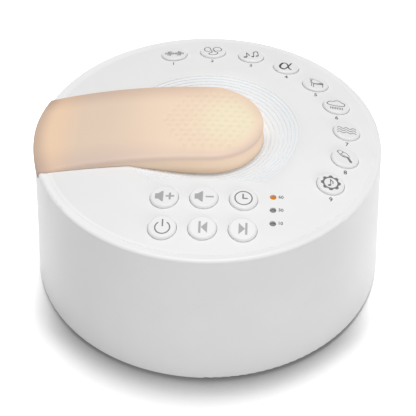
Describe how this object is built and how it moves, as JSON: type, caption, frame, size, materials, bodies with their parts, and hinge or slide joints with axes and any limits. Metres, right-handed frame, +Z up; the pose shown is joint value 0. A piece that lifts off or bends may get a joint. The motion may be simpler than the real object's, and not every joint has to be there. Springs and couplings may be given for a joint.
{
  "type": "white noise sound machine",
  "caption": "Round table-top white noise sound machine: domed panel of push keys, a tongue-shaped night light over a rippled dish, and a speaker that fires down through the base.",
  "frame": {"origin": "centre of the plane that the rubber feet stand on, on the vertical axis of the round body", "axes": "+Z up; -Y is the front, where the control keys are; the lamp's tail points to -X"},
  "size_m": [0.135, 0.1348, 0.0695],
  "materials": {
    "shell_plastic": "fine satin moulding, white",
    "panel_plastic": "satin white",
    "key_plastic": "satin white with printed grey signs",
    "lamp_plastic": "warm translucent diffuser",
    "white_sheet": "white reflecting sheet",
    "circuit_board": "green solder mask",
    "light_chip": "yellow phosphor over a white package",
    "indicator_lens": "small light pipes, one lit amber",
    "board_parts": "black packages",
    "silicone": "pale silicone",
    "feet_rubber": "grey rubber",
    "screw_steel": "zinc plated",
    "speaker_steel": "black paint",
    "magnet_iron": "dark ferrite and plated plates",
    "cone_paper": "black pressed paper",
    "spider_cloth": "varnished cloth",
    "coil_copper": "copper wire",
    "foam": "closed-cell foam",
    "socket_steel": "plain steel shell",
    "lead_insulation": "thin insulated wires"
  },
  "bodies": {
    "body": {"housing": "shell_plastic", "top_panel": "panel_plastic", "base_cover": "shell_plastic", "rubber_feet": "feet_rubber", "lamp_shade": "lamp_plastic", "lamp_board": "circuit_board", "lamp_reflector": "white_sheet", "lamp_leds": "light_chip", "key_board": "circuit_board", "indicator_lenses": "indicator_lens", "indicator_leds": "light_chip", "speaker_frame": "speaker_steel", "speaker_magnet": "magnet_iron", "speaker_surround": "foam", "speaker_spider": "spider_cloth", "speaker_gasket": "foam", "power_board": "circuit_board", "power_socket": "socket_steel", "board_parts": "board_parts", "panel_screws": "screw_steel", "base_screws": "screw_steel", "speaker_screws": "screw_steel", "board_screws": "screw_steel", "speaker_leads": "lead_insulation", "lamp_lead": "lead_insulation", "panel_lead": "lead_insulation", "white_noise_key_dome": "silicone", "fan_key_dome": "silicone", "melody_key_dome": "silicone", "alpha_key_dome": "silicone", "piano_key_dome": "silicone", "rain_key_dome": "silicone", "waves_key_dome": "silicone", "birds_key_dome": "silicone", "custom_key_dome": "silicone", "volume_up_key_dome": "silicone", "volume_down_key_dome": "silicone", "timer_key_dome": "silicone", "power_key_dome": "silicone", "previous_key_dome": "silicone", "next_key_dome": "silicone"},
    "white_noise_key": {"white_noise_key": "key_plastic"},
    "fan_key": {"fan_key": "key_plastic"},
    "melody_key": {"melody_key": "key_plastic"},
    "alpha_key": {"alpha_key": "key_plastic"},
    "piano_key": {"piano_key": "key_plastic"},
    "rain_key": {"rain_key": "key_plastic"},
    "waves_key": {"waves_key": "key_plastic"},
    "birds_key": {"birds_key": "key_plastic"},
    "custom_key": {"custom_key": "key_plastic"},
    "volume_up_key": {"volume_up_key": "key_plastic"},
    "volume_down_key": {"volume_down_key": "key_plastic"},
    "timer_key": {"timer_key": "key_plastic"},
    "power_key": {"power_key": "key_plastic"},
    "previous_key": {"previous_key": "key_plastic"},
    "next_key": {"next_key": "key_plastic"},
    "speaker_cone": {"speaker_cone": "cone_paper", "voice_coil": "coil_copper", "dust_cap": "cone_paper"}
  },
  "joints": [
    {"name": "white_noise_press", "type": "slide", "parent": "body", "child": "white_noise_key", "axis": [0, 0, -1], "range_m": [0, 0.0008], "stiffness_N_per_m": 1200, "springref_m": -0.0004, "deforming": ["white_noise_key_dome"]},
    {"name": "fan_press", "type": "slide", "parent": "body", "child": "fan_key", "axis": [0, 0, -1], "range_m": [0, 0.0008], "stiffness_N_per_m": 1200, "springref_m": -0.0004, "deforming": ["fan_key_dome"]},
    {"name": "melody_press", "type": "slide", "parent": "body", "child": "melody_key", "axis": [0, 0, -1], "range_m": [0, 0.0008], "stiffness_N_per_m": 1200, "springref_m": -0.0004, "deforming": ["melody_key_dome"]},
    {"name": "alpha_press", "type": "slide", "parent": "body", "child": "alpha_key", "axis": [0, 0, -1], "range_m": [0, 0.0008], "stiffness_N_per_m": 1200, "springref_m": -0.0004, "deforming": ["alpha_key_dome"]},
    {"name": "piano_press", "type": "slide", "parent": "body", "child": "piano_key", "axis": [0, 0, -1], "range_m": [0, 0.0008], "stiffness_N_per_m": 1200, "springref_m": -0.0004, "deforming": ["piano_key_dome"]},
    {"name": "rain_press", "type": "slide", "parent": "body", "child": "rain_key", "axis": [0, 0, -1], "range_m": [0, 0.0008], "stiffness_N_per_m": 1200, "springref_m": -0.0004, "deforming": ["rain_key_dome"]},
    {"name": "waves_press", "type": "slide", "parent": "body", "child": "waves_key", "axis": [0, 0, -1], "range_m": [0, 0.0008], "stiffness_N_per_m": 1200, "springref_m": -0.0004, "deforming": ["waves_key_dome"]},
    {"name": "birds_press", "type": "slide", "parent": "body", "child": "birds_key", "axis": [0, 0, -1], "range_m": [0, 0.0008], "stiffness_N_per_m": 1200, "springref_m": -0.0004, "deforming": ["birds_key_dome"]},
    {"name": "custom_press", "type": "slide", "parent": "body", "child": "custom_key", "axis": [0, 0, -1], "range_m": [0, 0.0008], "stiffness_N_per_m": 1200, "springref_m": -0.0004, "deforming": ["custom_key_dome"]},
    {"name": "volume_up_press", "type": "slide", "parent": "body", "child": "volume_up_key", "axis": [0, 0, -1], "range_m": [0, 0.0008], "stiffness_N_per_m": 1200, "springref_m": -0.0004, "deforming": ["volume_up_key_dome"]},
    {"name": "volume_down_press", "type": "slide", "parent": "body", "child": "volume_down_key", "axis": [0, 0, -1], "range_m": [0, 0.0008], "stiffness_N_per_m": 1200, "springref_m": -0.0004, "deforming": ["volume_down_key_dome"]},
    {"name": "timer_press", "type": "slide", "parent": "body", "child": "timer_key", "axis": [0, 0, -1], "range_m": [0, 0.0008], "stiffness_N_per_m": 1200, "springref_m": -0.0004, "deforming": ["timer_key_dome"]},
    {"name": "power_press", "type": "slide", "parent": "body", "child": "power_key", "axis": [0, 0, -1], "range_m": [0, 0.0008], "stiffness_N_per_m": 1200, "springref_m": -0.0004, "deforming": ["power_key_dome"]},
    {"name": "previous_press", "type": "slide", "parent": "body", "child": "previous_key", "axis": [0, 0, -1], "range_m": [0, 0.0008], "stiffness_N_per_m": 1200, "springref_m": -0.0004, "deforming": ["previous_key_dome"]},
    {"name": "next_press", "type": "slide", "parent": "body", "child": "next_key", "axis": [0, 0, -1], "range_m": [0, 0.0008], "stiffness_N_per_m": 1200, "springref_m": -0.0004, "deforming": ["next_key_dome"]},
    {"name": "cone_travel", "type": "slide", "parent": "body", "child": "speaker_cone", "axis": [0, 0, 1], "range_m": [-0.001, 0.001], "stiffness_N_per_m": 1500, "deforming": ["speaker_surround", "speaker_spider"]}
  ]
}
